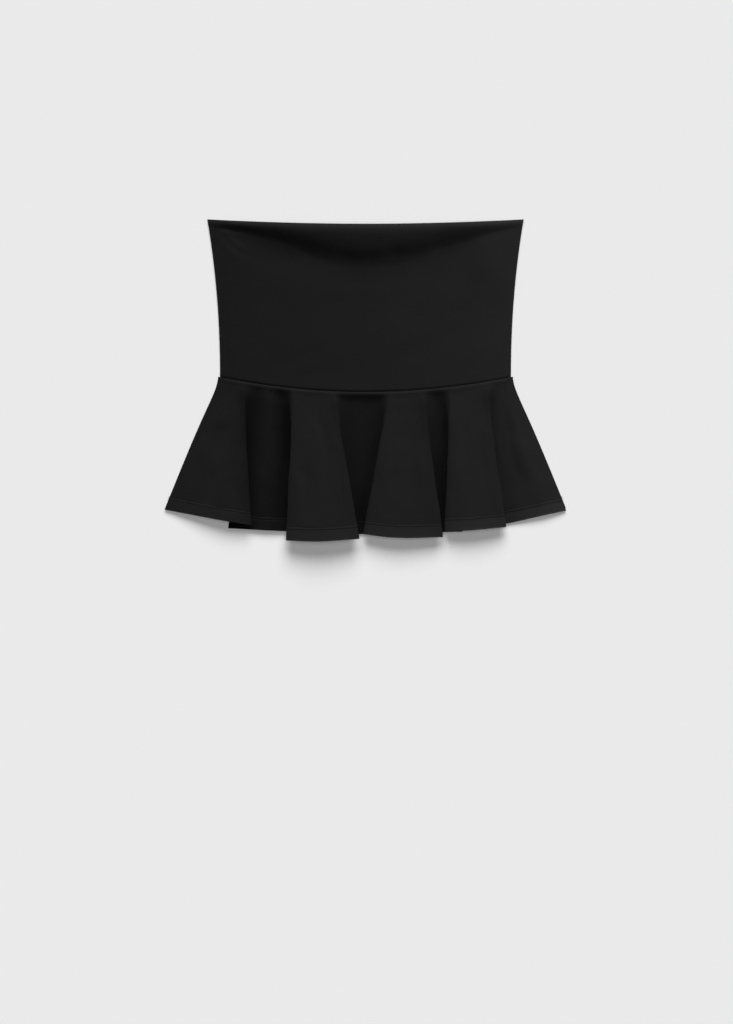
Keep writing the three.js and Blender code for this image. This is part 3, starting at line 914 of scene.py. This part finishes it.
closing = edge_closing(back_peplum, above_hem[:, 0])
underside = (WALL / 2 + np.minimum(hem_shape(above_hem), 0)) * closing
upper_side = (WALL / 2 + hem_wall(above_hem)) * closing
peplum_back_cloth = cloth_shell(
    "peplum_back_cloth", back_peplum, upper_side, underside, peplum_back_pattern, hem_wear_and_highlight
)

# %% [markdown]
# ## Two classes for node trees
#
# Both the stitches and the materials are node trees. Two small classes make them read like ordinary Python.
# Tree adds nodes and fills their sockets, and Value wraps an output, so that sums and products on it add
# Math nodes.

# %% Trees and values
class Value:
    """One output of a node. Maths on it adds Math nodes."""

    def __init__(self, tree, socket):
        self.tree = tree
        self.socket = socket

    def __getitem__(self, output):
        return Value(self.tree, self.socket.node.outputs[output])

    def math(self, operation, *values):
        return self.tree.add("ShaderNodeMath", {"operation": operation}, values)

    def __add__(self, other):
        return self.math("ADD", self, other)

    __radd__ = __add__

    def __mul__(self, other):
        return self.math("MULTIPLY", self, other)

    __rmul__ = __mul__

    def __sub__(self, other):
        return self.math("SUBTRACT", self, other)

    def __rsub__(self, other):
        return self.math("SUBTRACT", other, self)

    def __truediv__(self, other):
        return self.math("DIVIDE", self, other)

    def __mod__(self, other):
        return self.math("FLOORED_MODULO", self, other)

    def __abs__(self):
        return self.math("ABSOLUTE", self)

    def wave(self):
        """A sine that repeats each time the value grows by one."""
        turned = self * (2 * math.pi)
        return turned.math("SINE", turned)


class Tree:
    """Adds nodes to one node tree."""

    def __init__(self, node_tree):
        self.node_tree = node_tree

    def add(self, kind, settings=None, values=()):
        node = self.node_tree.nodes.new(kind)
        for name, setting in (settings or {}).items():
            setattr(node, name, setting)
        for name, value in values.items() if isinstance(values, dict) else enumerate(values):
            if isinstance(value, Value):
                self.node_tree.links.new(value.socket, node.inputs[name])
            else:
                node.inputs[name].default_value = value
        return Value(self, node.outputs[0]) if node.outputs else node


# %% [markdown]
# ## The knit's material
#
# The cloth is a matte black stretch knit. From close by it shows columns of small V-shaped stitches, and
# from a step away only a fine grain, a soft sheen and slight differences in depth of black. The stitches
# are worked out from the UV map, which is in metres, so one column is 0.8 mm wide on every panel. Two values
# on the cloth's points shift the black: it is lighter where an edge is rubbed and catches the light, which
# is partly wear and partly a painted highlight, and deeper with painted shade where a fold shelters it from
# the light of the room.

# %% The knit
WALE = 0.0008
COURSE = 0.00062
KNIT_DEPTH = 0.00012
CLOTH_DARK = (0.0087, 0.0087, 0.009, 1)
CLOTH_LIGHT = (0.0114, 0.0114, 0.0118, 1)
# Lighter black, partly wear and partly a painted highlight on edges that catch the light.
CLOTH_WEAR_AND_HIGHLIGHT = (0.026, 0.026, 0.0267, 1)
# Painted shade, the deepest black, for folds and valleys.
CLOTH_PAINTED_SHADE = (0.0026, 0.0026, 0.0028, 1)
STITCH_SLANT = 1.4
CLOUD_SCALE = 38.0
FUZZ_SCALE = 900.0


def new_material(name):
    material = bpy.data.materials.new(name)
    material.use_nodes = True
    material.node_tree.nodes.clear()
    return material, Tree(material.node_tree)


def mix_colour(tree, factor, first, second):
    return tree.add("ShaderNodeMix", {"data_type": "RGBA"}, {0: factor, 6: first, 7: second})[2]


def finish_material(tree, surface):
    tree.add("ShaderNodeOutputMaterial", {}, {"Surface": surface})


knit, tree = new_material("stretch_knit")
place = tree.add("ShaderNodeUVMap", {"uv_map": "pattern"})
split = tree.add("ShaderNodeSeparateXYZ", {}, [place])
wale = split["X"] / WALE
course = split["Y"] / COURSE
half_wale = abs(wale % 1.0 - 0.5)
leg = abs(wale.wave())
slant = (course + half_wale * STITCH_SLANT).wave()
stitch = leg * (slant * 0.35 + 0.65)

cloudy = tree.add("ShaderNodeTexNoise", {}, {"Vector": place, "Scale": CLOUD_SCALE, "Detail": 4.0})
fuzz = tree.add("ShaderNodeTexNoise", {}, {"Vector": place, "Scale": FUZZ_SCALE, "Detail": 2.0})
# The lighter black is partly wear and partly a painted highlight; the deeper black is painted shade.
wear_and_highlight = tree.add("ShaderNodeAttribute", {"attribute_name": "wear_and_highlight"})["Fac"]
painted_shade = tree.add("ShaderNodeAttribute", {"attribute_name": "painted_shade"})["Fac"]
tone = cloudy["Fac"] * 0.6 + fuzz["Fac"] * 0.2 + stitch * 0.25
base = mix_colour(tree, tone, CLOTH_DARK, CLOTH_LIGHT)
base = mix_colour(tree, wear_and_highlight, base, CLOTH_WEAR_AND_HIGHLIGHT)
base = mix_colour(tree, painted_shade, base, CLOTH_PAINTED_SHADE)
height = stitch * 0.7 + fuzz["Fac"] * 0.3
bump = tree.add("ShaderNodeBump", {}, {"Strength": 0.6, "Distance": KNIT_DEPTH, "Height": height})
shader = tree.add(
    "ShaderNodeBsdfPrincipled",
    {},
    {
        "Base Color": base,
        "Roughness": cloudy["Fac"] * 0.08 + 0.84,
        "Specular IOR Level": 0.05,
        "Sheen Weight": 0.008,
        "Sheen Roughness": 0.45,
        "Normal": bump,
    },
)
finish_material(tree, shader)

# %% The sewing thread
TWIST_SCALE = 900.0
TWIST_DEPTH = 0.00004
THREAD_DARK = (0.012, 0.012, 0.0124, 1)
THREAD_LIGHT = (0.026, 0.026, 0.0268, 1)
thread, tree = new_material("sewing_thread")
place = tree.add("ShaderNodeTexCoord")["Object"]
bands = {"wave_type": "BANDS", "bands_direction": "DIAGONAL"}
twist = tree.add("ShaderNodeTexWave", bands, {"Vector": place, "Scale": TWIST_SCALE})["Fac"]
base = mix_colour(tree, twist, THREAD_DARK, THREAD_LIGHT)
bump = tree.add("ShaderNodeBump", {}, {"Strength": 0.5, "Distance": TWIST_DEPTH, "Height": twist})
shader = tree.add(
    "ShaderNodeBsdfPrincipled",
    {},
    {"Base Color": base, "Roughness": twist * 0.1 + 0.6, "Specular IOR Level": 0.3, "Normal": bump},
)
finish_material(tree, shader)
for panel in (bodice_front, bodice_back, peplum_front_cloth, peplum_back_cloth):
    panel.data.materials.append(knit)
print("materials:", [material.name for material in bpy.data.materials if material.users])

# %% [markdown]
# ## Stitches
#
# A twin needle sews two rows of straight stitches on the outside and zigzags a third thread between them
# on the inside. Each row follows the hem up and down the flutes, so a row is first laid as a chain of points
# on the cloth, each with the cloth's normal. Geometry Nodes turn that chain into a curve, step along it and
# put one plump stitch at each step, turned with the curve and the cloth.

# %% A row of stitches as a node tree
ROW_SIZES = {"Pitch": 0.0028, "Length": 0.0023, "Thickness": 0.00034, "Turn": 0.0, "Unevenness": 0.08}
SEED = 5
STITCH_FLATNESS = 0.8


def new_stitch_group():
    """An empty node group with an input for each size of a row of stitches."""
    group = bpy.data.node_groups.new("row_of_stitches", "GeometryNodeTree")
    group.is_modifier = True
    sockets = group.interface
    sockets.new_socket("Row", in_out="INPUT", socket_type="NodeSocketGeometry")
    for name, size in ROW_SIZES.items():
        sockets.new_socket(name, in_out="INPUT", socket_type="NodeSocketFloat").default_value = size
    sockets.new_socket("Seed", in_out="INPUT", socket_type="NodeSocketInt").default_value = SEED
    sockets.new_socket("Stitches", in_out="OUTPUT", socket_type="NodeSocketGeometry")
    return group


def new_stitch_tree():
    group = new_stitch_group()
    tree = Tree(group)
    given = tree.add("NodeGroupInput")
    curve = tree.add("GeometryNodeMeshToCurve", {}, {"Mesh": given["Row"]})
    pitch = {"Curve": curve, "Length": given["Pitch"]}
    steps = tree.add("GeometryNodeResampleCurve", {"mode": "LENGTH"}, pitch)
    along = tree.add("GeometryNodeInputTangent")
    kind = {"data_type": "FLOAT_VECTOR"}
    up = tree.add("GeometryNodeInputNamedAttribute", kind, {"Name": "cloth_normal"})
    facing = tree.add(
        "FunctionNodeAxesToRotation",
        {"primary_axis": "X", "secondary_axis": "Z"},
        {"Primary Axis": along, "Secondary Axis": up},
    )
    side = tree.add("GeometryNodeInputIndex") % 2.0 * 2.0 - 1.0
    angle = side * given["Turn"]
    turn = tree.add("FunctionNodeAxisAngleToRotation", {}, {"Axis": (0, 0, 1), "Angle": angle})
    turned = tree.add(
        "FunctionNodeRotateRotation", {"rotation_space": "LOCAL"}, {"Rotation": facing, "Rotate By": turn}
    )
    one = tree.add("GeometryNodeMeshUVSphere", {}, {"Segments": 8, "Rings": 6, "Radius": 0.5})
    chance = tree.add("FunctionNodeRandomValue", {"data_type": "FLOAT"}, {"Seed": given["Seed"]})[1]
    uneven = 1.0 - given["Unevenness"] * chance
    thick = given["Thickness"]
    size = tree.add(
        "ShaderNodeCombineXYZ",
        {},
        {"X": given["Length"] * uneven, "Y": thick, "Z": thick * STITCH_FLATNESS},
    )
    placed = tree.add(
        "GeometryNodeInstanceOnPoints",
        {},
        {"Points": steps, "Instance": one, "Rotation": turned, "Scale": size},
    )
    solid = tree.add("GeometryNodeRealizeInstances", {}, {"Geometry": placed})
    soft = tree.add("GeometryNodeSetShadeSmooth", {}, {"Geometry": solid})
    coated = tree.add("GeometryNodeSetMaterial", {}, {"Geometry": soft, "Material": thread})
    tree.add("NodeGroupOutput", {}, {"Stitches": coated})
    return group


stitch_tree = new_stitch_tree()


# %% Lay a row on the cloth and sew it
def rows_on_cloth(middle, distances, offset):
    """Chains of points on the cloth at distances above the hem, offset outwards from its middle surface."""
    normal = grid_normals(middle)
    chains = []
    for distance in distances:
        row = int(np.argmin(np.abs(above_hem[:, 0] - distance)))
        chains.append((middle[row] + normal[row] * offset, normal[row]))
    return chains


def set_input(modifier, name, value):
    for item in modifier.node_group.interface.items_tree:
        if item.item_type == "SOCKET" and item.in_out == "INPUT" and item.name == name:
            modifier[item.identifier] = value


def sew(name, chains, **sizes):
    points = np.concatenate([chain for chain, _ in chains]) * MM
    normals = np.concatenate([normal for _, normal in chains])
    edges = []
    start = 0
    for chain, _ in chains:
        edges += [(start + k, start + k + 1) for k in range(len(chain) - 1)]
        start += len(chain)
    mesh = bpy.data.meshes.new(name + "_path")
    mesh.from_pydata(points.tolist(), edges, [])
    mesh.attributes.new("cloth_normal", "FLOAT_VECTOR", "POINT").data.foreach_set("vector", normals.ravel())
    path = bpy.data.objects.new(name + "_path", mesh)
    bpy.context.scene.collection.objects.link(path)
    modifier = path.modifiers.new("stitches", "NODES")
    modifier.node_group = stitch_tree
    for size_name, size in sizes.items():
        set_input(modifier, size_name, size)
    evaluated = path.evaluated_get(bpy.context.evaluated_depsgraph_get())
    result = bpy.data.meshes.new_from_object(evaluated)
    result.name = name
    bpy.data.objects.remove(path)
    stitches = bpy.data.objects.new(name, result)
    bpy.context.scene.collection.objects.link(stitches)
    print(name, len(result.polygons), "faces")
    return stitches


STITCH_PROUD = 0.06
ZIGZAG_PROUD = 0.04
OUTSIDE = WALL / 2 - STITCH_DENT + STITCH_PROUD
INSIDE = WALL / 2 + HEM_EXTRA + ZIGZAG_PROUD
ZIGZAG_ROWS = (12.9,)
ZIGZAG = {"Length": 0.0036, "Turn": 0.62}
front_stitches = sew("hem_stitches_front", rows_on_cloth(front, STITCH_ROWS, OUTSIDE))
front_zigzag = sew("hem_zigzag_front", rows_on_cloth(front, ZIGZAG_ROWS, -INSIDE), Seed=8, **ZIGZAG)
back_stitches = sew("hem_stitches_back", rows_on_cloth(back_peplum, STITCH_ROWS, -OUTSIDE), Seed=9)
back_zigzag = sew("hem_zigzag_back", rows_on_cloth(back_peplum, ZIGZAG_ROWS, INSIDE), Seed=10, **ZIGZAG)

# %% [markdown]
# ## The floor
#
# The top lies on a plain white surface. It reaches far beyond the picture, so its end never shows, not even
# from low down.

# %% The floor
FLOOR_HALF = 40.0
FLOOR_DROP = 0.0002
WHITE = (0.80, 0.80, 0.80, 1)
corners = np.array([(-1, -1), (1, -1), (1, 1), (-1, 1)]) * FLOOR_HALF
corners = np.column_stack([corners, np.full(4, -FLOOR_DROP)])
floor = make_object("floor", corners, np.array([[0, 1, 2, 3]]))
paper, tree = new_material("white_surface")
chalky = {"Base Color": WHITE, "Roughness": 1.0, "Specular IOR Level": 0.0}
finish_material(tree, tree.add("ShaderNodeBsdfPrincipled", {}, chalky))
floor.data.materials.append(paper)

# %% [markdown]
# ## Tell the frame what each piece is
#
# Each shell replaces the plain solid of its panel and rides on the one rigid body, and the area of cloth
# that it was cut from is printed. The stitches go with their panel.


# %% Pieces and bodies
class Panel(NamedTuple):
    cloth: object
    node: str
    pattern: Pattern
    sewn_on: list
    lies_on: str


back_thread = [back_stitches, back_zigzag]
front_thread = [front_stitches, front_zigzag]
PANELS = [
    Panel(bodice_back, "bodice_back", bodice_back_pattern, [], "floor"),
    Panel(peplum_back_cloth, "peplum_back", peplum_back_pattern, back_thread, "floor"),
    Panel(bodice_front, "bodice_front", bodice_front_pattern, [], "bodice_back_cloth"),
    Panel(peplum_front_cloth, "peplum_front", peplum_front_pattern, front_thread, "peplum_back_cloth"),
]
for panel in PANELS:
    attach(panel.cloth, "root")
    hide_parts(panel.node)
    for extra in panel.sewn_on:
        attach(extra, "root")
    print(f"{panel.node}: {panel.pattern.area:.4f} square metres of cloth")

# %% [markdown]
# ## Light and camera
#
# A black cloth shows its folds only in low light that rakes over it, and that same light would throw long
# shadows on the surface. So the cloth and the surface have lights of their own. The cloth gets three low
# soft ones, from beyond the neck edge, from the right and from the left, and a faint one overhead. The
# surface gets a higher one from beyond the neck edge, whose shadow falls below the hem, and one overhead.
# A faint even light reaches both. The camera looks straight down through a long lens that keeps the outline
# true.

# %% Lights
FLOOR_LIGHT = 0.823
ROOM_SHARE = 0.03


def only_for(name, things):
    """A collection of the things that a light falls on."""
    receivers = bpy.data.collections.new(name)
    for thing in things:
        receivers.objects.link(thing)
    return receivers


for_cloth = only_for("lit_cloth", [thing for panel in PANELS for thing in (panel.cloth, *panel.sewn_on)])
for_floor = only_for("lit_floor", [floor])


def add_light(name, receivers, turn, height, softness, share, distance=None):
    """A far light, or a round softbox at a distance. The turn is from +Y towards +X, and the share is of the
    light on a level surface at the origin."""
    turn, height, half_angle = math.radians(turn), math.radians(height), math.radians(softness / 2)
    level = math.cos(height)
    towards = Vector((math.sin(turn) * level, math.cos(turn) * level, math.sin(height)))
    strength = FLOOR_LIGHT * share * math.pi / (WHITE[0] * math.sin(height))
    if distance is None:
        data = bpy.data.lights.new(name, "SUN")
        data.energy = strength
        data.angle = 2 * half_angle
    else:
        data = bpy.data.lights.new(name, "AREA")
        data.shape = "DISK"
        data.size = 2 * distance * math.tan(half_angle)
        data.energy = strength * math.pi * distance**2
    light = bpy.data.objects.new(name, data)
    light.location = towards * (distance or 1)
    light.rotation_euler = towards.to_track_quat("Z", "Y").to_euler()
    light.light_linking.receiver_collection = receivers
    bpy.context.scene.collection.objects.link(light)


add_light("top_window", for_cloth, turn=0, height=23, softness=26, share=0.41)
add_light("right_softbox", for_cloth, turn=78, height=27, softness=36, share=0.35, distance=0.82)
add_light("left_window", for_cloth, turn=-62, height=26, softness=36, share=0.15)
add_light("floor_window", for_floor, turn=4, height=44, softness=38, share=0.65)
add_light("cloth_ceiling", for_cloth, turn=0, height=88, softness=160, share=0.09)
add_light("floor_ceiling", for_floor, turn=180, height=89, softness=24, share=0.32)

world = bpy.data.worlds.new("soft_room")
world.use_nodes = True
world.node_tree.nodes.clear()
tree = Tree(world.node_tree)
even = FLOOR_LIGHT * ROOM_SHARE / WHITE[0]
sky = tree.add("ShaderNodeBackground", {}, {"Color": (1, 1, 1, 1), "Strength": even})
tree.add("ShaderNodeOutputWorld", {}, {"Surface": sky})
bpy.context.scene.world = world

# %% The camera
CAMERA_X = 0.00115
CAMERA_Y = -0.1518
CAMERA_HEIGHT = 4.416
lens = bpy.data.cameras.new("camera")
lens.lens = 135
lens.sensor_width = 36
lens.clip_end = 50
camera = bpy.data.objects.new("camera", lens)
camera.location = (CAMERA_X, CAMERA_Y, CAMERA_HEIGHT)
bpy.context.scene.collection.objects.link(camera)
bpy.context.scene.camera = camera
bpy.context.scene.view_settings.view_transform = "Standard"
